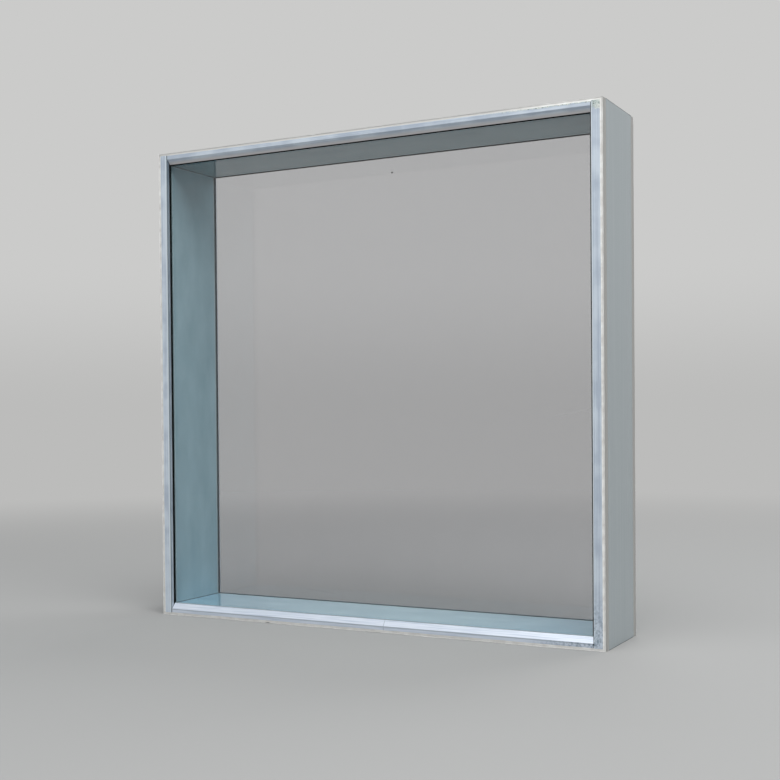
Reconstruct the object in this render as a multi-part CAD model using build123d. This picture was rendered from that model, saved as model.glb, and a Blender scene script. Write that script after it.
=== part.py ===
from build123d import *
import os

# Flush-mount window: two panes in a square frame that fills a deep opening.
# Millimetres, +Z up. The front looks along -Y, and +X is to the right as seen from the front.
# The origin is under the middle of the sill, halfway between the front and rear faces.

# Opening that the frame fills, face to face
opening_width = 800.0
opening_height = 800.0
wall_thickness = 150.0

# Glass
glass_thickness = 6.0
glass_bite = 9.0
arris = 0.8

# Rubber gasket between the trim and the glass
gasket_thickness = 2.0
gasket_width = 6.0
gasket_nose = 1.2
gasket_round = 0.7

# Sealant joint between the frame and the opening's edge
joint_width = 4.0
joint_hollow = 0.7

# Trims: the face is as wide on all four sides, but head and sill slope more than the jambs
face_width = 16.0
rail_slope = 9.0
jamb_slope = 2.0
lip_depth = 6.0
trim_wall = 2.0
foot_width = 8.0
edge_round = 0.8

# Snap fit between a trim's leg and the liner's nose
snap_reach = 0.6
snap_height = 3.0
snap_seat = 3.0
slip_clearance = 0.3
nose_thickness = 2.0
nose_height = 7.0

# Liners: hollow boxes that line the opening between the panes
liner_wall = 2.0
liner_chambers = 3

# Setting blocks under each pane
block_length = 80.0
block_inset = 120.0

# Places across the frame, measured inward from the opening's edge
sight = joint_width + face_width
trim_leg = joint_width + trim_wall
nose_outer = trim_leg + slip_clearance
nose_inner = nose_outer + nose_thickness
pane_edge = sight - glass_bite

# Places through the depth, measured back from the front face
glass_front = lip_depth + gasket_thickness
glass_back = glass_front + glass_thickness
nose_tip = glass_back - nose_height
snap_end = glass_back - snap_seat
snap_start = snap_end - snap_height
snap_middle = (snap_start + snap_end) / 2
liner_back = wall_thickness - glass_back


def section(corners, rounds=()):
    """Face from (inward, back) corners, with (corner, radius) pairs rounded off."""
    face = make_face(Polyline(*corners, close=True))
    for corner, radius in rounds:
        nearest = face.vertices().sort_by_distance(corner)[0]
        face = fillet(nearest, radius)
    return face


def trim_section(slope):
    """Thin-walled snap-in bead: leg, flat face, sloping inner side and the foot on the gasket."""
    lean = slope / lip_depth
    side_width = trim_wall * (1 + lean**2) ** 0.5
    flat_end = sight - slope
    behind_flat = flat_end - side_width + lean * trim_wall
    behind_foot = flat_end - side_width + lean * (lip_depth - trim_wall)
    foot_end = sight - foot_width
    corners = [
        (joint_width, 0),
        (flat_end, 0),
        (sight, lip_depth),
        (foot_end, lip_depth),
        (foot_end, lip_depth - trim_wall),
        (behind_foot, lip_depth - trim_wall),
        (behind_flat, trim_wall),
        (trim_leg, trim_wall),
        (trim_leg, snap_start),
        (trim_leg + snap_reach, snap_middle),
        (trim_leg, snap_end),
        (trim_leg, glass_back),
        (joint_width, glass_back),
    ]
    return section(corners, [(corners[0], edge_round), (corners[1], edge_round)])


def gasket_section():
    inner = sight + gasket_nose
    outer = inner - gasket_width
    corners = [
        (outer, lip_depth),
        (inner, lip_depth),
        (inner, glass_front),
        (outer, glass_front),
    ]
    return section(corners, [(corners[1], gasket_round), (corners[2], gasket_round)])


def sealant_section():
    """Bead with a hollow face, as a finger or a spatula leaves it."""
    front = ThreePointArc((0, 0), (joint_width / 2, joint_hollow), (joint_width, 0))
    rest = Polyline((joint_width, 0), (joint_width, glass_back), (0, glass_back), (0, 0))
    return make_face(front + rest)


def nose(base, direction):
    """Rib that holds a trim's leg, from the liner's end at base, towards direction (-1 or 1)."""

    def at(depth):
        return base + direction * (glass_back - depth)

    corners = [
        (nose_outer, at(glass_back)),
        (nose_outer, at(snap_end)),
        (nose_outer + snap_reach, at(snap_middle)),
        (nose_outer, at(snap_start)),
        (nose_outer, at(nose_tip)),
        (nose_inner, at(nose_tip)),
        (nose_inner, at(glass_back)),
    ]
    return section(corners)


def liner_section():
    """Hollow box with webs, and a nose at each end."""
    depth = liner_back - glass_back
    middle = (liner_back + glass_back) / 2
    box = Pos(sight / 2, middle) * Rectangle(sight, depth)
    chamber = (depth - (liner_chambers + 1) * liner_wall) / liner_chambers
    hollows = GridLocations(0, chamber + liner_wall, 1, liner_chambers)
    hollow = Rectangle(sight - 2 * liner_wall, chamber)
    for place in hollows:
        box -= Pos(sight / 2, middle) * place * hollow
    return box + nose(glass_back, -1) + nose(liner_back, 1)


# Each side of the frame: the way inward, the opening's span across it, and its own length
opening_middle = Vector(0, 0, opening_height / 2)
sides = {
    "sill": (Axis.Z.direction, opening_height, opening_width),
    "head": (-Axis.Z.direction, opening_height, opening_width),
    "left": (Axis.X.direction, opening_width, opening_height),
    "right": (-Axis.X.direction, opening_width, opening_height),
}


def edge_middle(side):
    """Middle of the opening's edge on a side, at the front face."""
    inward, across, length = sides[side]
    face_middle = opening_middle - Axis.Y.direction * wall_thickness / 2
    return face_middle - inward * across / 2


def bar(face, side, length):
    """Straight bar of a section along one side of the opening, centred on it."""
    inward = sides[side][0]
    plane = Plane(
        origin=edge_middle(side),
        x_dir=inward,
        z_dir=inward.cross(Axis.Y.direction),
    )
    return extrude(plane * face, length / 2, both=True)


def mitred(face, side):
    """Bar from corner to corner of the opening, cut at 45 degrees at both ends."""
    inward, across, length = sides[side]
    reach = sight + gasket_nose
    outline = Polyline(
        (0, -length / 2),
        (0, length / 2),
        (reach, length / 2 - reach),
        (reach, reach - length / 2),
        close=True,
    )
    plane = Plane(origin=edge_middle(side), x_dir=inward, z_dir=Axis.Y.direction)
    wedge = extrude(plane * make_face(outline), wall_thickness)
    return bar(face, side, length) & wedge


def mitred_ring(face, ending):
    return {f"{side}_{ending}": mitred(face, side) for side in sides}


def jamb_trims():
    """Full-height trims."""
    height = opening_height - 2 * joint_width
    face = trim_section(jamb_slope)
    return {f"{side}_trim": bar(face, side, height) for side in ("left", "right")}


def rail_trims():
    """Head and sill trims, coped to the inner sides of the jambs."""
    outline = section([
        (joint_width, 0),
        (sight - jamb_slope, 0),
        (sight, lip_depth),
        (sight, glass_back),
        (joint_width, glass_back),
    ])
    copes = [bar(outline, side, opening_height) for side in ("left", "right")]
    trims = {}
    for side in ("head", "sill"):
        rail = bar(trim_section(rail_slope), side, opening_width - 2 * trim_leg)
        for cope in copes:
            rail -= cope
        trims[f"{side}_trim"] = rail
    return trims


def pane():
    width = opening_width - 2 * pane_edge
    height = opening_height - 2 * pane_edge
    middle = -wall_thickness / 2 + glass_front + glass_thickness / 2
    sheet = Pos(0, middle, opening_height / 2) * Box(width, glass_thickness, height)
    return chamfer(sheet.edges(), arris)


def setting_blocks():
    """Two packers that carry the pane's lower edge on the liner's nose."""
    blocks = {}
    height = pane_edge - nose_inner
    middle = -wall_thickness / 2 + glass_front + glass_thickness / 2
    block = Box(block_length, glass_thickness, height)
    out = opening_width / 2 - pane_edge - block_inset - block_length / 2
    for side, x in (("left", -out), ("right", out)):
        blocks[f"{side}_setting_block"] = Pos(x, middle, nose_inner + height / 2) * block
    return blocks


def front_parts():
    parts = {"pane": pane()}
    parts |= jamb_trims()
    parts |= rail_trims()
    parts |= mitred_ring(gasket_section(), "gasket")
    parts |= mitred_ring(sealant_section(), "sealant")
    parts |= setting_blocks()
    return parts


window = mitred_ring(liner_section(), "liner")
for name, shape in front_parts().items():
    window[f"front_{name}"] = shape
    window[f"rear_{name}"] = mirror(shape, about=Plane.XZ)

os.makedirs("parts", exist_ok=True)
for name, shape in window.items():
    export_step(shape.solid(), f"parts/{name}.step")
    print(name, round(shape.volume))
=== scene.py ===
# %% [markdown]
# Flush-mount window, dressed in Blender.
#
# The real object is a fixed window for a deep opening. Two panes of glass sit in hollow metal
# liners, and slim snap-in trims with black gaskets hold each pane. A line of white sealant closes
# the joint all round. The solids come from the CAD model and stay where they are. This file gives
# them their finishes, and adds what a solid model leaves out: sealant tooled by hand, hairline
# joints, dust and small marks.

# %% Load the frame
import math

import bmesh
import bpy
from mathutils import Matrix, Vector, noise


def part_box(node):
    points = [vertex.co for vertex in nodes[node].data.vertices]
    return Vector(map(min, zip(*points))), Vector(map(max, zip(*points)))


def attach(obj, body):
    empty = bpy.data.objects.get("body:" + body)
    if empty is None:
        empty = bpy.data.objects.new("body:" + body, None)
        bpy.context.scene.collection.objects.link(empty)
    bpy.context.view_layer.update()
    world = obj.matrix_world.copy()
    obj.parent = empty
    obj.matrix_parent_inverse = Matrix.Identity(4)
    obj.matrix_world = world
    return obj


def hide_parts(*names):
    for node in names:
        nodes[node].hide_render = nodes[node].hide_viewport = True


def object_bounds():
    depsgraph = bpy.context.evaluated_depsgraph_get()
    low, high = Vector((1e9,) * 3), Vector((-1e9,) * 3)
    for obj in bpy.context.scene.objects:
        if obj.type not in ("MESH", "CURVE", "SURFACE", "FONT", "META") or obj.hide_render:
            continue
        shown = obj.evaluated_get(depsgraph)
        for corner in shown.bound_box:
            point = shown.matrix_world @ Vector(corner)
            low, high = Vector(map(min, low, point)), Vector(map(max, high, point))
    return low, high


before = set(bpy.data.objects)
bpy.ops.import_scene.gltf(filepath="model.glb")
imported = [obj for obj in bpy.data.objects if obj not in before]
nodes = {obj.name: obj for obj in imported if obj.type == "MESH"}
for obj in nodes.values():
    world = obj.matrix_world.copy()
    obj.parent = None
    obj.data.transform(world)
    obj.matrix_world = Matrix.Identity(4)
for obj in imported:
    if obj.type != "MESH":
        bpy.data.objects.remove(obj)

cad_low, cad_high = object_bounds()
cad_size = cad_high - cad_low
print(f"{len(nodes)} solids, {cad_size.x:.3f} m wide, {cad_size.z:.3f} m high")

# %% [markdown]
# Sizes are read in millimetres, as the fitter would call them out, and Blender works in metres.
# Colours are read off as hex values, which are sRGB. Shaders add up light, so they want linear
# values, and one function converts them. A second function adds a shader node, with its settings
# and the links that feed it, so that a material reads from top to bottom as its light path does.

# %% Units, colours and nodes
MM = 0.001


def linear(hex_colour):
    """sRGB hex to the linear RGBA that a shader socket takes."""
    channels = [int(hex_colour[i:i + 2], 16) / 255 for i in (0, 2, 4)]
    flat = [c / 12.92 if c <= 0.04045 else ((c + 0.055) / 1.055) ** 2.4 for c in channels]
    return (*flat, 1.0)


def add_node(tree, kind, settings=None, links=None):
    """Adds a node. Settings are options or sockets, links are sockets or nodes that feed it."""
    node = tree.nodes.new(kind)
    for name, value in (settings or {}).items():
        if isinstance(name, int) or name in node.inputs:
            node.inputs[name].default_value = value
        else:
            setattr(node, name, value)
    for name, source in (links or {}).items():
        if isinstance(source, bpy.types.Node):
            source = source.outputs[0]
        tree.links.new(source, node.inputs[name])
    return node


print("mid grey is", round(linear("808080")[0], 3), "in linear light")

# %% [markdown]
# The window was looked at from its right, a little below its middle. The camera stands where the
# frame's edges line up with that view. Its turn, tilt and roll are angles that a photographer
# would know, and they are built into one rotation: first the roll about the line of sight, then
# the tilt, then the turn about the upright.

# %% Camera
PICTURE_SIDE = 780
FOCAL_PIXELS = 1235.2
SENSOR = 36.0
CAMERA_PLACE = (0.9586, -1.7906, 0.3498)
CAMERA_TURN = 27.895
CAMERA_TILT = -0.882
CAMERA_ROLL = -0.482
PIXELS_BELOW_CENTRE = 40.8

camera = bpy.data.objects.new("camera", bpy.data.cameras.new("camera"))
bpy.context.scene.collection.objects.link(camera)
camera.data.sensor_width = SENSOR
camera.data.lens = SENSOR * FOCAL_PIXELS / PICTURE_SIDE
camera.data.shift_y = PIXELS_BELOW_CENTRE / PICTURE_SIDE
camera.matrix_world = (
    Matrix.Translation(CAMERA_PLACE)
    @ Matrix.Rotation(math.radians(CAMERA_TURN), 4, "Z")
    @ Matrix.Rotation(math.radians(90 + CAMERA_TILT), 4, "X")
    @ Matrix.Rotation(math.radians(CAMERA_ROLL), 4, "Z")
)
bpy.context.scene.camera = camera
bpy.context.scene.view_settings.view_transform = "Standard"
print(f"lens {camera.data.lens:.1f} mm")

# %% [markdown]
# The stage is a plain pale floor that runs out of sight, under a plain pale sky. Far out, the
# floor takes the sky's colour, so no hard horizon cuts through the glass. Camera, mirror and glass
# rays see that colour, and all other rays see ordinary paint, so it adds no light to the window.

# %% Floor and background
BACKGROUND_HIGH = "cbcbca"
BACKGROUND_LOW = "bcbcbb"
FLOOR_PAINT = "9d9d9c"
SKY_LIGHT = "e4e9ee"
SKY_STRENGTH = 0.42
SKY_RISE = 0.12
FLOOR_SIDE = 60.0
FADE_FROM, FADE_TO = 0.6, 3.5


def seen_directly(tree):
    """1 for camera, mirror and glass rays, 0 for the rest."""
    path = add_node(tree, "ShaderNodeLightPath")
    mirror = add_node(tree, "ShaderNodeMath", {"operation": "MAXIMUM"},
                      {0: path.outputs["Is Camera Ray"], 1: path.outputs["Is Glossy Ray"]})
    return add_node(tree, "ShaderNodeMath", {"operation": "MAXIMUM"},
                    {0: mirror, 1: path.outputs["Is Transmission Ray"]})


def make_floor():
    bm = bmesh.new()
    bmesh.ops.create_grid(bm, x_segments=1, y_segments=1, size=FLOOR_SIDE / 2)
    mesh = bpy.data.meshes.new("floor")
    bm.to_mesh(mesh)
    bm.free()
    floor = bpy.data.objects.new("floor", mesh)
    bpy.context.scene.collection.objects.link(floor)

    paint = bpy.data.materials.new("pale floor paint")
    paint.use_nodes = True
    tree = paint.node_tree
    tree.nodes.clear()
    place = add_node(tree, "ShaderNodeTexCoord").outputs["Object"]
    distance = add_node(tree, "ShaderNodeVectorMath", {"operation": "LENGTH"}, {0: place})
    fade = add_node(tree, "ShaderNodeMapRange",
                    {"interpolation_type": "SMOOTHSTEP",
                     "From Min": FADE_FROM, "From Max": FADE_TO},
                    {"Value": distance.outputs["Value"]})
    amount = add_node(tree, "ShaderNodeMath", {"operation": "MULTIPLY"},
                      {0: fade, 1: seen_directly(tree)})
    matt = add_node(tree, "ShaderNodeBsdfDiffuse", {"Color": linear(FLOOR_PAINT)})
    sky = add_node(tree, "ShaderNodeEmission", {"Color": linear(BACKGROUND_LOW), "Strength": 1.0})
    mix = add_node(tree, "ShaderNodeMixShader", links={0: amount, 1: matt, 2: sky})
    add_node(tree, "ShaderNodeOutputMaterial", links={"Surface": mix})
    mesh.materials.append(paint)


def make_sky():
    world = bpy.data.worlds.new("pale sky")
    bpy.context.scene.world = world
    world.use_nodes = True
    tree = world.node_tree
    tree.nodes.clear()
    direction = add_node(tree, "ShaderNodeTexCoord").outputs["Object"]
    height = add_node(tree, "ShaderNodeSeparateXYZ", links={0: direction}).outputs["Z"]
    rise = add_node(tree, "ShaderNodeMapRange",
                    {"interpolation_type": "SMOOTHSTEP", "From Max": SKY_RISE}, {"Value": height})
    colour = add_node(tree, "ShaderNodeMix",
                      {"data_type": "RGBA", 6: linear(BACKGROUND_LOW), 7: linear(BACKGROUND_HIGH)},
                      {"Factor": rise}).outputs[2]
    seen = add_node(tree, "ShaderNodeBackground", {"Strength": 1.0}, {"Color": colour})
    light = add_node(tree, "ShaderNodeBackground",
                     {"Color": linear(SKY_LIGHT), "Strength": SKY_STRENGTH})
    mix = add_node(tree, "ShaderNodeMixShader", links={0: seen_directly(tree), 1: light, 2: seen})
    add_node(tree, "ShaderNodeOutputWorld", links={"Surface": mix})


make_floor()
make_sky()
print("floor and sky ready")

# %% [markdown]
# A window like this is lit from overhead. One wide soft lamp stands in for those lights, on the
# viewer's side. It makes the upward slope of the sill trim the brightest face and leaves the
# head's slope in shade. A weaker one does the same behind the glass.

# %% Lamps
WINDOW_MIDDLE = (0.0, 0.0, 0.4)


def add_lamp(name, place, target, side, power):
    lamp = bpy.data.objects.new(name, bpy.data.lights.new(name, "AREA"))
    lamp.data.shape = "SQUARE"
    lamp.data.size = side
    lamp.data.energy = power
    bpy.context.scene.collection.objects.link(lamp)
    lamp.location = place
    away = Vector(place) - Vector(target)
    lamp.rotation_euler = away.to_track_quat("Z", "Y").to_euler()


add_lamp("ceiling light", (0.8, -1.3, 3.15), WINDOW_MIDDLE, 2.8, 125.0)
add_lamp("ceiling light behind", (0.4, 2.0, 3.0), WINDOW_MIDDLE, 2.4, 62.0)

# %% [markdown]
# Finishes. Each material starts from what the real one is. All patterns read Object coordinates,
# which are metres in the window's own frame, so a pattern's scale is worked out from a size in
# millimetres. The window's long parts are either upright (jambs) or level (head and sill), and
# streaks from the extruder's die run along them. So most finishes are made twice, once for each.
#
# Wear, dirt and painted light and shade sit at known places on a straight frame, such as an edge or
# a mitre. So their masks are made from distances, not painted by hand: sides and ends are distances
# from the opening's edge, and depth is the distance from the middle of the frame. A mask is kept
# within another by linking that one to its To Max, which multiplies the two.

# %% Distances and masks
HALF = 0.4
FACE = 0.075
WAYS = ("upright", "level")


def per_metre(millimetres):
    """Scale of a pattern whose features are this many millimetres across."""
    return 1 / (millimetres * MM)


def stretch(way, across, along):
    """Mapping scale for features this many millimetres wide and long."""
    wide, long = per_metre(across), per_metre(along)
    return (wide, wide, long) if way == "upright" else (long, wide, wide)


def new_material(name):
    material = bpy.data.materials.new(name)
    material.use_nodes = True
    tree = material.node_tree
    tree.nodes.clear()
    return material, tree, add_node(tree, "ShaderNodeTexCoord").outputs["Object"]


def frame_distances(tree, place):
    """Where a point is on the frame, in metres."""
    split = add_node(tree, "ShaderNodeSeparateXYZ", links={0: place})
    at = {axis.lower(): split.outputs[axis] for axis in "XYZ"}
    at["z above middle"] = add_node(tree, "ShaderNodeMath", {"operation": "SUBTRACT", 1: HALF},
                                    {0: at["z"]})
    for name, source in (("sides", at["x"]), ("ends", at["z above middle"])):
        size = add_node(tree, "ShaderNodeMath", {"operation": "ABSOLUTE"}, {0: source})
        at[name] = add_node(tree, "ShaderNodeMath", {"operation": "SUBTRACT", 0: HALF}, {1: size})
    at["depth"] = add_node(tree, "ShaderNodeMath", {"operation": "ABSOLUTE"}, {0: at["y"]})
    return at


def on_side(tree, at, side):
    """1 on this side of the window and 0 on the one across: left, right, sill or head."""
    axis, middle = ("x", 0.0) if side in ("left", "right") else ("z", HALF)
    turn = 0.01 if side in ("right", "head") else -0.01
    return add_node(tree, "ShaderNodeMapRange",
                    {"From Min": middle - turn, "From Max": middle + turn}, {"Value": at[axis]})


def band(tree, distance, middle, half_width, within=None):
    """1 within half_width of a place, fading to 0 at twice that, inside another mask."""
    off = add_node(tree, "ShaderNodeMath", {"operation": "SUBTRACT", 1: middle * MM}, {0: distance})
    size = add_node(tree, "ShaderNodeMath", {"operation": "ABSOLUTE"}, {0: off})
    held = {"To Max": within} if within else {}
    return add_node(tree, "ShaderNodeMapRange",
                    {"From Min": 2 * half_width * MM, "From Max": half_width * MM},
                    {"Value": size, **held})


def spot(tree, place, centre, radius):
    """1 at a point, fading to 0 at this many millimetres from it."""
    gap = add_node(tree, "ShaderNodeVectorMath", {"operation": "DISTANCE", 1: centre}, {0: place})
    return add_node(tree, "ShaderNodeMapRange",
                    {"From Min": radius * MM, "From Max": radius / 2 * MM},
                    {"Value": gap.outputs["Value"]})


# %% [markdown]
# Gaskets: extruded EPDM rubber, near black and matt. Carbon black in it swallows most of the light,
# and a grey bloom comes to the surface in streaks along the strip. The face against the glass is
# painted a pale blue-grey, and a slanting look through the pane's edge shows it.
# On the sill the strip looks up, so dust lies on it, most of all in front. The packers under the
# glass are moulded from the same rubber, harder, with a moulded grain.

# %% Gasket rubber
RUBBER_BLACK = "030607"
RUBBER_BLOOM = "0d1315"
RUBBER_DUST = "8b9ba2"
GASKET_FACE_PALE = "9db5bd"


def epdm_rubber(way):
    material, tree, place = new_material(f"black EPDM rubber {way}")
    at = frame_distances(tree, place)
    strip = add_node(tree, "ShaderNodeMapping", {"Scale": stretch(way, 2.0, 30.0)},
                     {"Vector": place})
    grain = add_node(tree, "ShaderNodeTexNoise", {"Scale": 1.0, "Detail": 3.0}, {"Vector": strip})
    body = add_node(tree, "ShaderNodeMix",
                    {"data_type": "RGBA", 6: linear(RUBBER_BLACK), 7: linear(RUBBER_BLOOM)},
                    {"Factor": grain}).outputs[2]
    if way == "level":
        dust = add_node(tree, "ShaderNodeMapRange", {"From Min": 0.35, "From Max": -0.06},
                        {"Value": at["y"], "To Max": on_side(tree, at, "sill")})
        body = add_node(tree, "ShaderNodeMix", {"data_type": "RGBA", 7: linear(RUBBER_DUST)},
                        {"Factor": dust, 6: body}).outputs[2]
    # The face against the glass is painted a pale blue-grey.
    against_glass = add_node(tree, "ShaderNodeMapRange",
                             {"From Min": 67.2 * MM, "From Max": 67.05 * MM},
                             {"Value": at["depth"]})
    pale_face = add_node(tree, "ShaderNodeMapRange", {"From Min": 19.5 * MM, "From Max": 19.2 * MM},
                    {"Value": at["sides" if way == "upright" else "ends"], "To Max": against_glass})
    body = add_node(tree, "ShaderNodeMix", {"data_type": "RGBA", 7: linear(GASKET_FACE_PALE)},
                    {"Factor": pale_face, 6: body}).outputs[2]
    shader = add_node(tree, "ShaderNodeBsdfPrincipled",
                      {"Roughness": 0.7, "Specular IOR Level": 0.06}, {"Base Color": body})
    add_node(tree, "ShaderNodeOutputMaterial", links={"Surface": shader})
    return material


rubbers = {way: epdm_rubber(way) for way in WAYS}
print([rubber.name for rubber in rubbers.values()])

# %% Packer rubber
PACKER_DARK = "0d0f10"
PACKER_WORN = "1d2021"
PACKER_GRAIN = 0.8


def packer_rubber():
    material, tree, place = new_material("moulded packer rubber")
    grain = add_node(tree, "ShaderNodeTexVoronoi", {"Scale": per_metre(PACKER_GRAIN)},
                     {"Vector": place})
    body = add_node(tree, "ShaderNodeMix",
                    {"data_type": "RGBA", 6: linear(PACKER_DARK), 7: linear(PACKER_WORN)},
                    {"Factor": grain}).outputs[2]
    bump = add_node(tree, "ShaderNodeBump", {"Strength": 0.3, "Distance": 0.1 * MM},
                    {"Height": grain})
    shader = add_node(tree, "ShaderNodeBsdfPrincipled", {"Roughness": 0.7},
                      {"Base Color": body, "Normal": bump})
    add_node(tree, "ShaderNodeOutputMaterial", links={"Surface": shader})
    return material


packers = packer_rubber()
print(packers.name)

# %% [markdown]
# Trims: extruded aluminium, satin anodised in a pale steel blue. An extrusion carries fine lines
# from the die along its length, and anodising keeps them. The eye sees soft streaks and a blurred
# gleam. The clean metal comes first, and the next cells lay painted light and shade, wear and dirt
# over it.

# %% Clean anodised metal
TRIM_DARK = "bac6d5"
TRIM_LIGHT = "d7e2ed"


def clean_metal(tree, place, streaks):
    """Clouds and die streaks between two blues."""
    cloud = add_node(tree, "ShaderNodeTexNoise", {"Scale": per_metre(40), "Detail": 3.0},
                     {"Vector": place})
    both = add_node(tree, "ShaderNodeMath", {"operation": "MULTIPLY_ADD", 1: 0.9},
                    {0: streaks, 2: cloud})
    shade = add_node(tree, "ShaderNodeMapRange", {"From Min": 0.8, "From Max": 1.1},
                     {"Value": both})
    return add_node(tree, "ShaderNodeMix",
                    {"data_type": "RGBA", 6: linear(TRIM_DARK), 7: linear(TRIM_LIGHT)},
                    {"Factor": shade}).outputs[2]


# %% [markdown]
# Jambs. The face's inner edge carries a pale line of painted highlight, and on the left jamb a dark
# line of painted shade sits beside it. The sloping inner side is darkened by painted shade, most
# near the top, and its last half millimetre is painted black, for the gasket's lip over it and the
# lip's painted contact shadow. At the top right the fitter left a smear of sealant, with grit in
# it. It covers the jamb's end, and a ragged thin edge of it runs out along the head.

# %% Painted light and shade on the jambs, and a sealant smear
TRIM_EDGE_HIGHLIGHT = "dfe9f0"
EDGE_SHADE = "7d8b94"
SLOPE_SHADE = "a4abaf"
SMEAR_PALE, SMEAR_THIN, GRIT = "e2e7e2", "b9c7c4", "4f5b5a"
JAMB_SMEAR = {"ragged": 14.0, "level": 0.7915, "start_x": 0.382, "full_x": 0.385}
RAIL_SMEAR = {"ragged": 7.0, "level": 0.7975, "start_x": 0.2, "full_x": 0.3}


def jamb_painted_light_and_lip(tree, at, body):
    # Painted highlight: a pale line along each jamb face's inner edge. Painted shade: a dark line
    # beside it on the left jamb.
    for colour, middle, half_width, side in ((TRIM_EDGE_HIGHLIGHT, 17.3, 0.5, "right"),
                                             (TRIM_EDGE_HIGHLIGHT, 15.4, 0.7, "left"),
                                             (EDGE_SHADE, 17.6, 0.45, "left")):
        edge = band(tree, at["sides"], middle, half_width, on_side(tree, at, side))
        body = add_node(tree, "ShaderNodeMix", {"data_type": "RGBA", 7: linear(colour)},
                        {"Factor": edge, 6: body}).outputs[2]
    # Painted shade: the sloping inner side is darkened, most near the top.
    front = add_node(tree, "ShaderNodeMapRange", {"From Min": -0.060, "From Max": -0.062},
                     {"Value": at["y"]})
    slope = add_node(tree, "ShaderNodeMapRange", {"From Min": 18.0 * MM, "From Max": 18.2 * MM},
                     {"Value": at["sides"], "To Max": front})
    shaded = add_node(tree, "ShaderNodeMapRange", {"From Min": -0.5, "From Max": 0.78},
                      {"Value": at["z"], "To Max": slope})
    body = add_node(tree, "ShaderNodeMix",
                    {"data_type": "RGBA", "blend_type": "MULTIPLY", 7: linear(SLOPE_SHADE)},
                    {"Factor": shaded, 6: body}).outputs[2]
    # Painted black band: the gasket's lip over the edge, together with its painted contact shadow.
    lap = add_node(tree, "ShaderNodeMapRange", {"From Min": 19.3 * MM, "From Max": 19.5 * MM},
                   {"Value": at["sides"], "To Max": front})
    return add_node(tree, "ShaderNodeMix", {"data_type": "RGBA", 7: linear(RUBBER_BLACK)},
                    {"Factor": lap, 6: body}).outputs[2]


def sealant_smear(tree, place, at, body, ragged, level, start_x, full_x):
    """Smear above a level, its edge ragged by some millimetres, that fades in along x."""
    blot = add_node(tree, "ShaderNodeTexNoise",
                    {"Scale": per_metre(4.5), "Detail": 5.0, "Roughness": 0.65}, {"Vector": place})
    height = add_node(tree, "ShaderNodeMath", {"operation": "MULTIPLY_ADD", 1: ragged * MM},
                      {0: blot, 2: at["z"]})
    softness = ragged / 14 * MM
    top = add_node(tree, "ShaderNodeMapRange",
                   {"From Min": level - softness, "From Max": level + softness},
                   {"Value": height})
    front = add_node(tree, "ShaderNodeMapRange", {"From Min": -0.072, "From Max": -0.074},
                     {"Value": at["y"], "To Max": top})
    smear = add_node(tree, "ShaderNodeMapRange", {"From Min": start_x, "From Max": full_x},
                     {"Value": at["x"], "To Max": front})
    thin = add_node(tree, "ShaderNodeMapRange", {"From Min": 0.42, "From Max": 0.58},
                    {"Value": blot})
    paste = add_node(tree, "ShaderNodeMix",
                     {"data_type": "RGBA", 6: linear(SMEAR_THIN), 7: linear(SMEAR_PALE)},
                     {"Factor": thin}).outputs[2]
    body = add_node(tree, "ShaderNodeMix", {"data_type": "RGBA"},
                    {"Factor": smear, 6: body, 7: paste}).outputs[2]
    grit = add_node(tree, "ShaderNodeTexNoise", {"Scale": per_metre(2.6), "Detail": 1.0},
                    {"Vector": place})
    ticks = add_node(tree, "ShaderNodeMapRange", {"From Min": 0.6, "From Max": 0.67},
                     {"Value": grit, "To Max": smear})
    return add_node(tree, "ShaderNodeMix", {"data_type": "RGBA", 7: linear(GRIT)},
                    {"Factor": ticks, 6: body}).outputs[2]


# %% [markdown]
# Head and sill. The sill's slope is painted pale, most of all in front, a painted highlight where
# it faces up to the lamps, and the foot of its flat face is painted pale the same way, with a
# darker line between them. The head's slope is paler towards the glass, a painted reflection. The
# head trim's last fraction of a millimetre is painted black, for the gasket's lip and its painted
# contact shadow. Where a level trim meets a jamb, dirt fills the hairline, and one fine crack in
# the coat crosses the sill.

# %% Painted light, wear and dirt on head and sill
SILL_PALE_LOW, SILL_PALE_HIGH = "bfcbdb", "dce4f0"
HIGHLIT_SLOPE, PALE_FOOT = (10.9, 11.3), (9.6, 7.6)
SILL_LINE, SILL_LINE_PLACE = "b3bbc5", 9.9
HEAD_SLOPE_REFLECTION = "dad8d8"
JOINT_DIRT = "343b40"
COPE_PLACE, COPE_RUN = 18.8, 3
CRACK_DIRT, CRACK_PLACE = "a9b6c1", 35.3


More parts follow.
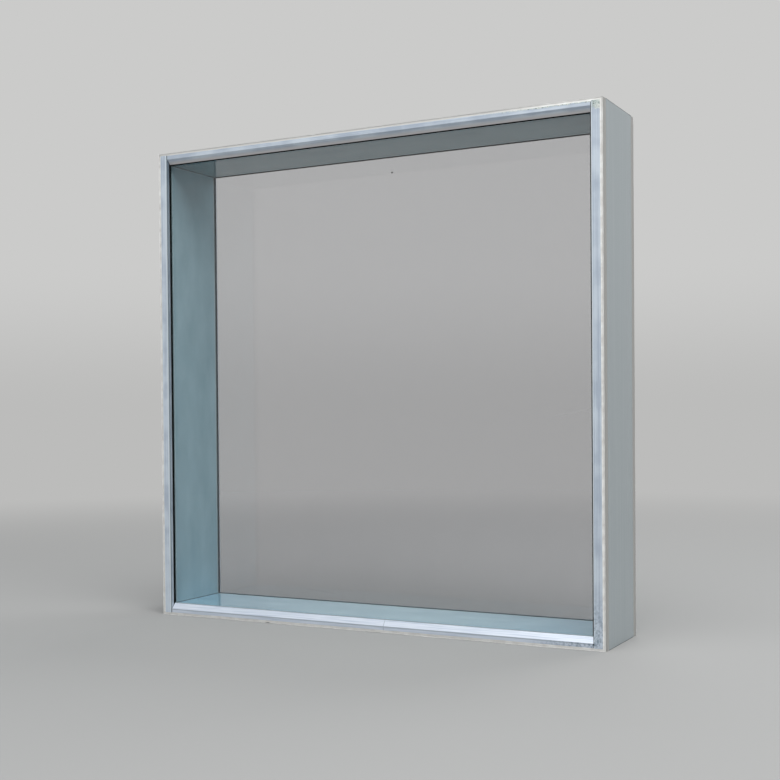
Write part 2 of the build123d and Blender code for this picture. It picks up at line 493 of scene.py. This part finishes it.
def rail_light_and_wear(tree, place, at, body):
    sill, head = on_side(tree, at, "sill"), on_side(tree, at, "head")
    # Painted highlight: the sill's slope is paler, most in front, with streaks along it; the foot
    # of its flat face is painted paler the same way.
    streak_run = add_node(tree, "ShaderNodeMapping", {"Scale": stretch("level", 1.6, 70.0)},
                      {"Vector": place})
    pale_streaks = add_node(tree, "ShaderNodeTexNoise", {"Scale": 1.0, "Detail": 3.0}, {"Vector": streak_run})
    streak_share = add_node(tree, "ShaderNodeMapRange", {"From Min": 0.3, "From Max": 0.55},
                     {"Value": pale_streaks})
    sill_pale = add_node(tree, "ShaderNodeMix",
                        {"data_type": "RGBA", 6: linear(SILL_PALE_LOW), 7: linear(SILL_PALE_HIGH)},
                        {"Factor": streak_share}).outputs[2]
    towards_front = add_node(tree, "ShaderNodeMapRange", {"From Min": 0.2, "From Max": -0.06},
                     {"Value": at["y"], "To Max": sill})
    for start, end in (HIGHLIT_SLOPE, PALE_FOOT):
        paled = add_node(tree, "ShaderNodeMapRange",
                         {"From Min": start * MM, "From Max": end * MM},
                         {"Value": at["ends"], "To Max": towards_front})
        body = add_node(tree, "ShaderNodeMix", {"data_type": "RGBA"},
                        {"Factor": paled, 6: body, 7: sill_pale}).outputs[2]
    line = band(tree, at["ends"], SILL_LINE_PLACE, 0.5, sill)
    # Painted reflection: the head's slope pales towards the glass.
    pale = add_node(tree, "ShaderNodeMapRange", {"From Min": 13.5 * MM, "From Max": 18.0 * MM},
                    {"Value": at["ends"], "To Max": head})
    for colour, mask in ((SILL_LINE, line), (HEAD_SLOPE_REFLECTION, pale)):
        body = add_node(tree, "ShaderNodeMix", {"data_type": "RGBA", 7: linear(colour)},
                        {"Factor": mask, 6: body}).outputs[2]
    # Painted black band on the head: the gasket's lip over the edge, together with its painted
    # contact shadow.
    lap = add_node(tree, "ShaderNodeMapRange", {"From Min": 19.35 * MM, "From Max": 19.6 * MM},
                   {"Value": at["ends"], "To Max": head})
    body = add_node(tree, "ShaderNodeMix", {"data_type": "RGBA", 7: linear(RUBBER_BLACK)},
                    {"Factor": lap, 6: body}).outputs[2]

    lean = add_node(tree, "ShaderNodeMath", {"operation": "MULTIPLY_ADD", 1: 1 / COPE_RUN},
                    {0: at["depth"], 2: at["sides"]})
    joint = add_node(tree, "ShaderNodeMath",
                     {"operation": "LESS_THAN", 1: COPE_PLACE * MM + FACE / COPE_RUN}, {0: lean})
    body = add_node(tree, "ShaderNodeMix", {"data_type": "RGBA", 7: linear(JOINT_DIRT)},
                    {"Factor": joint, 6: body}).outputs[2]
    front = add_node(tree, "ShaderNodeMapRange", {"From Min": 0.01, "From Max": -0.01},
                     {"Value": at["y"], "To Max": sill})
    crack = band(tree, at["x"], CRACK_PLACE, 0.3, front)
    return add_node(tree, "ShaderNodeMix", {"data_type": "RGBA", 7: linear(CRACK_DIRT)},
                    {"Factor": crack, 6: body}).outputs[2]


# %% [markdown]
# Dirt gathers low down on the right, where a mop reaches the flat faces: grey-blue blots with pale
# specks of lime between them, and one dark dot where the sill meets the jamb.

# %% Grime in the lower right corner
GRIME, LIME = "7f93a4", "dbe4ec"
DOT_PLACE, DOT_RADIUS = (0.3815, -FACE, 0.0095), 1.6


def corner_grime(tree, place, at, across, flat_edge, body):
    low = add_node(tree, "ShaderNodeMapRange", {"From Min": 0.09, "From Max": 0.005},
                   {"Value": at["z"]})
    flat = add_node(tree, "ShaderNodeMapRange",
                    {"From Min": (flat_edge + 0.4) * MM, "From Max": (flat_edge - 0.4) * MM},
                    {"Value": across, "To Max": low})
    here = add_node(tree, "ShaderNodeMapRange", {"From Min": 0.28, "From Max": 0.37},
                    {"Value": at["x"], "To Max": flat})
    for colour, size, start, end in ((GRIME, 4.5, 0.42, 0.64), (LIME, 2.2, 0.58, 0.68)):
        pattern = add_node(tree, "ShaderNodeTexNoise",
                           {"Scale": per_metre(size), "Detail": 4.0, "Roughness": 0.6},
                           {"Vector": place})
        blots = add_node(tree, "ShaderNodeMapRange", {"From Min": start, "From Max": end},
                         {"Value": pattern, "To Max": here})
        body = add_node(tree, "ShaderNodeMix", {"data_type": "RGBA", 7: linear(colour)},
                        {"Factor": blots, 6: body}).outputs[2]
    dot = spot(tree, place, DOT_PLACE, DOT_RADIUS)
    return add_node(tree, "ShaderNodeMix", {"data_type": "RGBA", 7: linear(JOINT_DIRT)},
                    {"Factor": dot, 6: body}).outputs[2]


# %% Satin anodised aluminium
RAIL_FLAT_EDGE, JAMB_FLAT_EDGE = 11.0, 18.0


def anodised_aluminium(way):
    material, tree, place = new_material(f"satin anodised aluminium {way}")
    at = frame_distances(tree, place)
    run = add_node(tree, "ShaderNodeMapping", {"Scale": stretch(way, 2.6, 240.0)},
                   {"Vector": place})
    streaks = add_node(tree, "ShaderNodeTexNoise", {"Scale": 1.0, "Detail": 4.0}, {"Vector": run})
    body = clean_metal(tree, place, streaks)
    if way == "upright":
        body = jamb_painted_light_and_lip(tree, at, body)
        body = corner_grime(tree, place, at, at["sides"], JAMB_FLAT_EDGE, body)
        body = sealant_smear(tree, place, at, body, **JAMB_SMEAR)
    else:
        body = rail_light_and_wear(tree, place, at, body)
        body = corner_grime(tree, place, at, at["ends"], RAIL_FLAT_EDGE, body)
        body = sealant_smear(tree, place, at, body, **RAIL_SMEAR)

    gleam = add_node(tree, "ShaderNodeMapRange", {"To Min": 0.3, "To Max": 0.42},
                     {"Value": streaks})
    fine = add_node(tree, "ShaderNodeMapping", {"Scale": stretch(way, 0.7, 60.0)},
                    {"Vector": place})
    lines = add_node(tree, "ShaderNodeTexNoise", {"Scale": 1.0, "Detail": 2.0}, {"Vector": fine})
    bump = add_node(tree, "ShaderNodeBump", {"Strength": 0.12, "Distance": 0.05 * MM},
                    {"Height": lines})
    shader = add_node(tree, "ShaderNodeBsdfPrincipled", {"Metallic": 0.3},
                      {"Base Color": body, "Roughness": gleam, "Normal": bump})
    add_node(tree, "ShaderNodeOutputMaterial", links={"Surface": shader})
    return material


trims = {way: anodised_aluminium(way) for way in WAYS}
print([trim.name for trim in trims.values()])

# %% [markdown]
# Liners: the same extruded aluminium, powder coated in a glossy blue-grey. Powder melts into a
# skin with a faint ripple, called orange peel, so mirror images in it waver a little. The mitres
# hold a hairline of dirt, drawn about a millimetre wide so that it shows. The coat is pale next to
# the glass and a little bluer where it lies level. Painted shade greys the head's underside and
# darkens the sill near its ends. The outer side is hidden once the window is in its opening, so its
# coat is thin there and scuffed along its length, and dust lies on top of the head.

# %% Glossy powder coat
COAT = {"upright": ("9bbdc9", "adcdd8"), "level": ("9dc3d3", "aed3e1")}
COAT_END, COAT_END_DEPTH = "c3d8de", 60.2
COAT_THIN, COAT_SCUFF = "abb5b8", "b5bdc0"
TOP_DUST = "b8b8b5"
HEAD_UNDERSIDE_SHADE = "a6b6b3"
SILL_END_SHADE = "dce8ef"
MITRE_DIRT, MITRE_HALF_WIDTH = "2a363b", 0.45


def powder_coat(way):
    material, tree, place = new_material(f"glossy powder coat {way}")
    at = frame_distances(tree, place)
    across = at["sides" if way == "upright" else "ends"]
    run = add_node(tree, "ShaderNodeMapping", {"Scale": stretch(way, 35.0, 80.0)},
                   {"Vector": place})
    cloud = add_node(tree, "ShaderNodeTexNoise", {"Scale": 1.0, "Detail": 4.0}, {"Vector": run})
    shade = add_node(tree, "ShaderNodeMapRange", {"From Min": 0.3, "From Max": 0.7},
                     {"Value": cloud})
    body = add_node(tree, "ShaderNodeMix",
                    {"data_type": "RGBA", 6: linear(COAT[way][0]), 7: linear(COAT[way][1])},
                    {"Factor": shade}).outputs[2]

    if way == "level":
        # Painted shade: the head's underside is greyed.
        head = on_side(tree, at, "head")
        # Painted shade: the sill darkens towards its ends.
        sill_ends = add_node(tree, "ShaderNodeMapRange", {"From Min": 0.3, "From Max": 0.09},
                           {"Value": at["sides"], "To Max": on_side(tree, at, "sill")})
        for colour, mask in ((HEAD_UNDERSIDE_SHADE, head), (SILL_END_SHADE, sill_ends)):
            body = add_node(tree, "ShaderNodeMix",
                            {"data_type": "RGBA", "blend_type": "MULTIPLY", 7: linear(colour)},
                            {"Factor": mask, 6: body}).outputs[2]
    body = add_node(tree, "ShaderNodeMix", {"data_type": "RGBA", 7: linear(COAT_END)},
                    {"Factor": band(tree, at["depth"], COAT_END_DEPTH, 0.6), 6: body}).outputs[2]
    outer = add_node(tree, "ShaderNodeMapRange", {"From Min": 0.6 * MM, "From Max": 0.3 * MM},
                     {"Value": across})
    rub = add_node(tree, "ShaderNodeMapping", {"Scale": stretch(way, 1.8, 400.0)},
                   {"Vector": place})
    rubbed = add_node(tree, "ShaderNodeTexNoise", {"Scale": 1.0, "Detail": 6.0, "Roughness": 0.65},
                      {"Vector": rub})
    scuff = add_node(tree, "ShaderNodeMapRange", {"From Min": 0.4, "From Max": 0.65},
                     {"Value": rubbed})
    worn = add_node(tree, "ShaderNodeMix",
                    {"data_type": "RGBA", 6: linear(COAT_THIN), 7: linear(COAT_SCUFF)},
                    {"Factor": scuff}).outputs[2]
    if way == "level":
        worn = add_node(tree, "ShaderNodeMix",
                        {"data_type": "RGBA", "blend_type": "MULTIPLY", 7: linear(TOP_DUST)},
                        {"Factor": head, 6: worn}).outputs[2]
    body = add_node(tree, "ShaderNodeMix", {"data_type": "RGBA"},
                    {"Factor": outer, 6: body, 7: worn}).outputs[2]

    mitre = add_node(tree, "ShaderNodeMath", {"operation": "SUBTRACT"},
                     {0: at["sides"], 1: at["ends"]})
    hairline = band(tree, mitre, 0.0, MITRE_HALF_WIDTH)
    body = add_node(tree, "ShaderNodeMix", {"data_type": "RGBA", 7: linear(MITRE_DIRT)},
                    {"Factor": hairline, 6: body}).outputs[2]

    peel = add_node(tree, "ShaderNodeTexNoise", {"Scale": per_metre(2.5), "Detail": 1.0},
                    {"Vector": place})
    bump = add_node(tree, "ShaderNodeBump", {"Strength": 0.06, "Distance": 0.05 * MM},
                    {"Height": peel})
    smudge = add_node(tree, "ShaderNodeMapRange", {"To Min": 0.05, "To Max": 0.14},
                      {"Value": cloud})
    shader = add_node(tree, "ShaderNodeBsdfPrincipled",
                      {"IOR": 1.45, "Specular IOR Level": 0.35},
                      {"Base Color": body, "Roughness": smudge, "Normal": bump})
    add_node(tree, "ShaderNodeOutputMaterial", links={"Surface": shader})
    return material


liners = {way: powder_coat(way) for way in WAYS}
print([liner.name for liner in liners.values()])

# %% [markdown]
# Panes: clear float glass with a faint grey body tint. Float glass is flat and free of waves, so it
# needs no bump. Lamps are small targets for light paths that bend in glass, so shadow and diffuse
# rays pass straight through a plain filter of the same tint instead. The camera never sees it.
# The rear pane mirrors the front opening as a faint pale square. The front pane's own gleam is
# kept lower, because it would veil the dark gaskets behind it. A film of dust dulls the glass a
# little, most of all near the sill. Two fine scratches, a speck of dirt and a thin line of it along
# the right jamb's gasket lie on the front pane.

# %% Grey float glass
GLASS_TINT = "ececed"
GLASS_FILTER = "e7e9e9"
GLASS_DUST = "c9cbcb"
GLASS_IOR = 1.5
FILM_LOW, FILM_HIGH = 0.04, 0.006
PANE_DIRT = "1d1a18"
DIRT_LINE, DIRT_STRENGTH = 378.2, 0.7
PANE_FRONT = -0.067
SPECK_PLACE, SPECK_RADIUS = (0.0536, PANE_FRONT, 0.7257), 2.0
SCRATCHES = [((0.322, PANE_FRONT, 0.3408), (0.377, PANE_FRONT, 0.3521)),
             ((-0.113, PANE_FRONT, 0.0608), (-0.054, PANE_FRONT, 0.0561))]
SCRATCH_STRENGTH = 0.16
FRONT_GLEAM, REAR_GLEAM = 0.15, 0.8


def scratch(tree, place, start, end):
    """1 along a hairline from start to end."""
    run = Vector(end) - Vector(start)
    offset = add_node(tree, "ShaderNodeVectorMath", {"operation": "SUBTRACT", 1: start}, {0: place})
    along = add_node(tree, "ShaderNodeVectorMath",
                     {"operation": "DOT_PRODUCT", 1: run / run.length_squared}, {0: offset})
    held = add_node(tree, "ShaderNodeClamp", links={0: along.outputs["Value"]})
    point = add_node(tree, "ShaderNodeVectorMath", {"operation": "SCALE", 0: run}, {"Scale": held})
    apart = add_node(tree, "ShaderNodeVectorMath", {"operation": "DISTANCE"}, {0: offset, 1: point})
    return add_node(tree, "ShaderNodeMapRange",
                    {"From Min": 0.9 * MM, "From Max": 0.3 * MM, "To Max": SCRATCH_STRENGTH},
                    {"Value": apart.outputs["Value"]})


def float_glass(side, gleam, scratches):
    material, tree, place = new_material(f"grey float glass {side}")
    at = frame_distances(tree, place)
    clear = add_node(tree, "ShaderNodeBsdfPrincipled",
                     {"Base Color": linear(GLASS_TINT), "Roughness": 0.0, "IOR": GLASS_IOR,
                      "Specular IOR Level": gleam, "Transmission Weight": 1.0})
    low = add_node(tree, "ShaderNodeMapRange",
                   {"From Max": 0.25, "To Min": FILM_LOW, "To Max": FILM_HIGH},
                   {"Value": at["z"]})
    film = add_node(tree, "ShaderNodeTexNoise", {"Scale": per_metre(55), "Detail": 6.0},
                    {"Vector": place})
    marks = add_node(tree, "ShaderNodeMath", {"operation": "MULTIPLY"}, {0: low, 1: film})
    for start, end in scratches:
        marks = add_node(tree, "ShaderNodeMath", {"operation": "MAXIMUM"},
                         {0: marks, 1: scratch(tree, place, start, end)})
    front = add_node(tree, "ShaderNodeMapRange",
                     {"From Min": -0.0665, "From Max": -0.0668, "To Max": DIRT_STRENGTH},
                     {"Value": at["y"]})
    line = band(tree, at["x"], DIRT_LINE, 0.4, front)
    dark = add_node(tree, "ShaderNodeMath", {"operation": "MAXIMUM"},
                    {0: line, 1: spot(tree, place, SPECK_PLACE, SPECK_RADIUS)})
    marks = add_node(tree, "ShaderNodeMath", {"operation": "MAXIMUM"}, {0: marks, 1: dark})
    dirt = add_node(tree, "ShaderNodeMix",
                    {"data_type": "RGBA", 6: linear(GLASS_DUST), 7: linear(PANE_DIRT)},
                    {"Factor": dark}).outputs[2]
    dull = add_node(tree, "ShaderNodeBsdfDiffuse", links={"Color": dirt})
    surface = add_node(tree, "ShaderNodeMixShader", links={0: marks, 1: clear, 2: dull})
    filtered = add_node(tree, "ShaderNodeBsdfTransparent", {"Color": linear(GLASS_FILTER)})
    path = add_node(tree, "ShaderNodeLightPath")
    lets_through = add_node(tree, "ShaderNodeMath", {"operation": "MAXIMUM"},
                            {0: path.outputs["Is Shadow Ray"], 1: path.outputs["Is Diffuse Ray"]})
    mix = add_node(tree, "ShaderNodeMixShader", links={0: lets_through, 1: surface, 2: filtered})
    add_node(tree, "ShaderNodeOutputMaterial", links={"Surface": mix})
    return material


panes = {"front": float_glass("front", FRONT_GLEAM, SCRATCHES),
         "rear": float_glass("rear", REAR_GLEAM, [])}
print([glass.name for glass in panes.values()])

# %% [markdown]
# Sealant: neutral silicone in white. It cures to a soft skin with a low sheen, and it picks up dust
# and fingerprints in its hollows. Along the head, and less so along the sill, it is greyer than on
# the jambs, except near the right. The side that was pressed against the opening carries the
# opening's dust.

# %% White silicone
SEALANT_CLEAN = "f8f8f5"
SEALANT_DUSTY = "e0deda"
SEALANT_GREY = "cfcecb"
SEALANT_HIDDEN = "b0afab"


def white_silicone():
    material, tree, place = new_material("white silicone sealant")
    at = frame_distances(tree, place)
    dust = add_node(tree, "ShaderNodeTexNoise", {"Scale": per_metre(12), "Detail": 5.0},
                    {"Vector": place})
    patchy = add_node(tree, "ShaderNodeMapRange", {"From Min": 0.35, "From Max": 0.65},
                      {"Value": dust})
    body = add_node(tree, "ShaderNodeMix",
                    {"data_type": "RGBA", 6: linear(SEALANT_DUSTY), 7: linear(SEALANT_CLEAN)},
                    {"Factor": patchy}).outputs[2]
    # Greyer along the head, and less so along the sill, fading out towards the right.
    high = add_node(tree, "ShaderNodeMapRange", {"From Min": 0.39, "From Max": 0.41, "To Min": 0.4},
                    {"Value": at["z"]})
    level = add_node(tree, "ShaderNodeMapRange", {"From Min": 5.6 * MM, "From Max": 4.6 * MM},
                     {"Value": at["ends"], "To Max": high})
    grey = add_node(tree, "ShaderNodeMapRange", {"From Min": 0.34, "From Max": 0.22},
                    {"Value": at["x"], "To Max": level})
    body = add_node(tree, "ShaderNodeMix", {"data_type": "RGBA", 7: linear(SEALANT_GREY)},
                    {"Factor": grey, 6: body}).outputs[2]
    outermost = add_node(tree, "ShaderNodeMath", {"operation": "MINIMUM"},
                         {0: at["sides"], 1: at["ends"]})
    pressed = add_node(tree, "ShaderNodeMapRange", {"From Min": 74.9 * MM, "From Max": 74.4 * MM},
                       {"Value": at["depth"]})
    hidden = add_node(tree, "ShaderNodeMapRange", {"From Min": 2.6 * MM, "From Max": 2.1 * MM},
                      {"Value": outermost, "To Max": pressed})
    body = add_node(tree, "ShaderNodeMix", {"data_type": "RGBA", 7: linear(SEALANT_HIDDEN)},
                    {"Factor": hidden, 6: body}).outputs[2]
    skin = add_node(tree, "ShaderNodeTexNoise", {"Scale": per_metre(1.5), "Detail": 2.0},
                    {"Vector": place})
    bump = add_node(tree, "ShaderNodeBump", {"Strength": 0.2, "Distance": 0.1 * MM},
                    {"Height": skin})
    shader = add_node(tree, "ShaderNodeBsdfPrincipled", {"Roughness": 0.42},
                      {"Base Color": body, "Normal": bump})
    add_node(tree, "ShaderNodeOutputMaterial", links={"Surface": shader})
    return material


silicone = white_silicone()
print(silicone.name)

# %% [markdown]
# The last word of a solid's name says what it is, and the finish is picked by that word. The parts
# of the left and right side take the upright finish, and all others take the level one.

# %% Dress the solids
for name, solid in nodes.items():
    way = "upright" if "left_" in name or "right_" in name else "level"
    finish = {
        "trim": trims[way],
        "liner": liners[way],
        "pane": panes["front" if "front" in name else "rear"],
        "gasket": rubbers[way],
        "sealant": silicone,
        "block": packers,
    }[name.split("_")[-1]]
    solid.data.materials.clear()
    solid.data.materials.append(finish)
print("dressed", len(nodes), "solids")

# %% [markdown]
# Sealant beads. The fitter fills the joint around the frame from a cartridge, then draws a wet
# finger along it. That leaves a hollow face that wavers, feathers over the trim's rounded edge,
# and has a nick here and there where something knocked it. A swept profile would be too even. So
# each bead starts as one square, inset to a ring with mitred corners, and is cut into short steps.
# Every point is then pushed in and back by smooth noise, and the rim is drawn back into the joint
# to close the body. Noise by place gives the same bead each time and joins up at the corners.

# %% Bead sizes
JOINT_WIDTH = 4.0 * MM
LAP = 0.8 * MM
BEAD_HOLLOW = 0.3 * MM
STEPS_ALONG = 219
STEPS_ACROSS = 5
EDGE_RETREAT, HEAD_RETREAT = 0.25, 0.35
RIPPLE = 0.06 * MM
SET_BACK = 0.02 * MM
NICKS = [(-0.183, -0.4), (-0.087, 0.4)]
NICK_RADIUS = 3.5 * MM
NICK_DEPTH = 1.3 * MM
FULLER_PLACES = [(-0.398, -0.38), (0.398, 0.38)]
FULLER_RADIUS = 14.0 * MM
front_sealants = [f"front_{side}_sealant" for side in ("sill", "head", "left", "right")]
joint_low, joint_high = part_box("front_sill_sealant")
joint_depth = joint_high.y - joint_low.y
print(f"joint {JOINT_WIDTH / MM:.0f} mm wide, {joint_depth / MM:.0f} mm deep")


# %% A ring cut into short steps


def mitred_ring():
    """Flat square ring in the XY plane, as wide as the joint and its lap on the trim."""
    bm = bmesh.new()
    bmesh.ops.create_grid(bm, x_segments=1, y_segments=1, size=HALF)
    bmesh.ops.inset_region(bm, faces=bm.faces[:], thickness=JOINT_WIDTH + LAP, use_boundary=True,
                           use_even_offset=True)
    middle = min(bm.faces, key=lambda face: face.calc_center_median().length)
    bmesh.ops.delete(bm, geom=[middle], context="FACES_ONLY")
    mitres = [edge for edge in bm.edges if edge.calc_length() < 2 * (JOINT_WIDTH + LAP)]
    bmesh.ops.subdivide_edges(bm, edges=mitres, cuts=STEPS_ACROSS)
    runs = [edge for edge in bm.edges if edge.calc_length() > HALF]
    bmesh.ops.subdivide_edges(bm, edges=runs, cuts=STEPS_ALONG)
    return bm


ring = mitred_ring()
print(len(ring.faces), "faces in a ring")
ring.free()


# %% Tooling the bead


def waver(point, wavelength, seed):
    """Smooth noise from -1 to 1 with bumps about this many millimetres apart."""
    return noise.noise(Vector((point.x, point.y, seed)) * per_metre(wavelength))


def nearness(point, places, radius):
    """1 at any of the places, falling to 0 over about two radii."""
    return sum(math.exp(-((Vector(place) - point.xy).length / radius) ** 2) for place in places)


def tool_bead(bm, seed):
    """Shapes the ring's face as a finger leaves it. Back is towards +Z here."""
    for vert in bm.verts:
        across = HALF - max(abs(vert.co.x), abs(vert.co.y))
        share = across / (JOINT_WIDTH + LAP)
        rough = 0.22 * waver(vert.co, 70, seed) + 0.07 * waver(vert.co, 12, seed + 3)
        on_head = vert.co.y > HALF - 0.01
        retreat = max(0.0, EDGE_RETREAT + rough + HEAD_RETREAT * on_head) * MM
        retreat *= 1 - nearness(vert.co, FULLER_PLACES, FULLER_RADIUS)
        retreat += NICK_DEPTH * nearness(vert.co, NICKS, NICK_RADIUS)
        lap_end = JOINT_WIDTH + LAP * min(1.0, 0.75 + 0.35 * waver(vert.co, 38, seed + 7))
        placed = retreat + share * (lap_end - retreat)
        vert.co.xy *= (HALF - placed) / (HALF - across)
        hollow = BEAD_HOLLOW * math.sin(math.pi * share) * (1 + 0.4 * waver(vert.co, 45, seed + 11))
        ripple = RIPPLE * (1 + waver(vert.co, 8, seed + 17)) * (1 - share)
        vert.co.z = SET_BACK + hollow + ripple


def close_body(bm):
    """Draws both rims straight back into the joint and joins them there."""
    rims = [edge for edge in bm.edges if edge.is_boundary]
    drawn = bmesh.ops.extrude_edge_only(bm, edges=rims)["geom"]
    for vert in [item for item in drawn if isinstance(item, bmesh.types.BMVert)]:
        outside = HALF - max(abs(vert.co.x), abs(vert.co.y)) < JOINT_WIDTH / 2
        reach = HALF if outside else HALF - JOINT_WIDTH
        vert.co.xy *= reach / max(abs(vert.co.x), abs(vert.co.y))
        vert.co.z = joint_depth
    bmesh.ops.bridge_loops(bm, edges=[edge for edge in bm.edges if edge.is_boundary])
    bmesh.ops.recalc_face_normals(bm, faces=bm.faces)


# %% Place the beads
FRONT_SEED, REAR_SEED = 2.0, 31.0
SHARP_ANGLE = 50


def make_bead(name, seed, turn, replaced):
    bm = mitred_ring()
    tool_bead(bm, seed)
    close_body(bm)
    to_front = Matrix.Translation((0, -FACE, HALF)) @ Matrix.Rotation(math.radians(90), 4, "X")
    flip = Matrix.Scale(-1, 4, (0, 0, 1))
    bmesh.ops.transform(bm, matrix=Matrix.Rotation(turn, 4, "Z") @ to_front @ flip, verts=bm.verts)
    bmesh.ops.recalc_face_normals(bm, faces=bm.faces)
    mesh = bpy.data.meshes.new(name)
    bm.to_mesh(mesh)
    bm.free()
    mesh.shade_smooth()
    mesh.set_sharp_from_angle(angle=math.radians(SHARP_ANGLE))
    mesh.materials.append(silicone)
    bead = bpy.data.objects.new(name, mesh)
    bpy.context.scene.collection.objects.link(bead)
    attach(bead, "root")
    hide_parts(*replaced)
    print(name, len(mesh.polygons), "faces")


rear_sealants = [name.replace("front", "rear") for name in front_sealants]
make_bead("front_sealant_bead", FRONT_SEED, 0.0, front_sealants)
make_bead("rear_sealant_bead", REAR_SEED, math.pi, rear_sealants)
